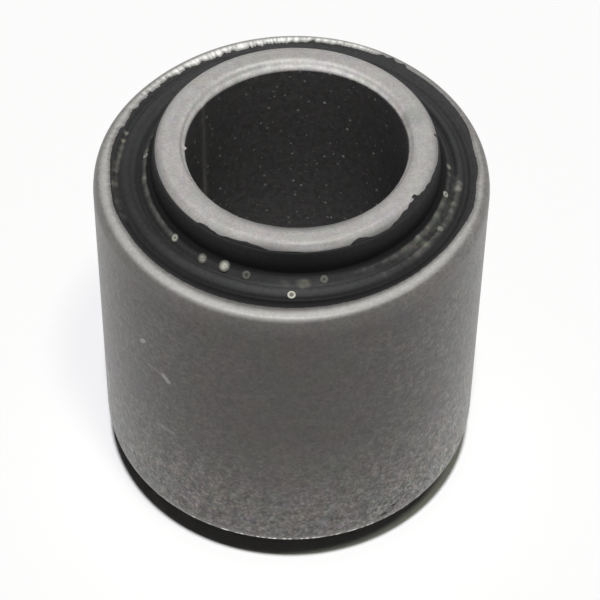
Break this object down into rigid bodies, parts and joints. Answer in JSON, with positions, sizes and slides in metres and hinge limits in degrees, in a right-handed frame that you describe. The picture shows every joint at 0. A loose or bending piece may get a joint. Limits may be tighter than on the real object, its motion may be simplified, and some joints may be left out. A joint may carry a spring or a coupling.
{
  "type": "rubber metal bush",
  "caption": "Round rubber bush bonded between a thin outer steel sleeve with rolled-in ends and a longer, thicker inner steel sleeve with a plain through bore.",
  "frame": {"origin": "centre of the bush: on the outer sleeve's axis, halfway along its length", "axes": "+Z along the bore, out of one of two like ends; +X towards the side that the inner sleeve sits 0.4 mm nearer to"},
  "size_m": [0.036, 0.036, 0.04],
  "materials": {
    "outer_steel": "matt grey, shot-blasted, with a worn bright rim",
    "inner_steel": "turned end faces, dark dull bore with a faint seam",
    "rubber": "black, moulded, slightly dusty"
  },
  "bodies": {
    "root": {"outer_sleeve": "outer_steel", "inner_sleeve": "inner_steel", "rubber_element": "rubber"}
  },
  "joints": []
}
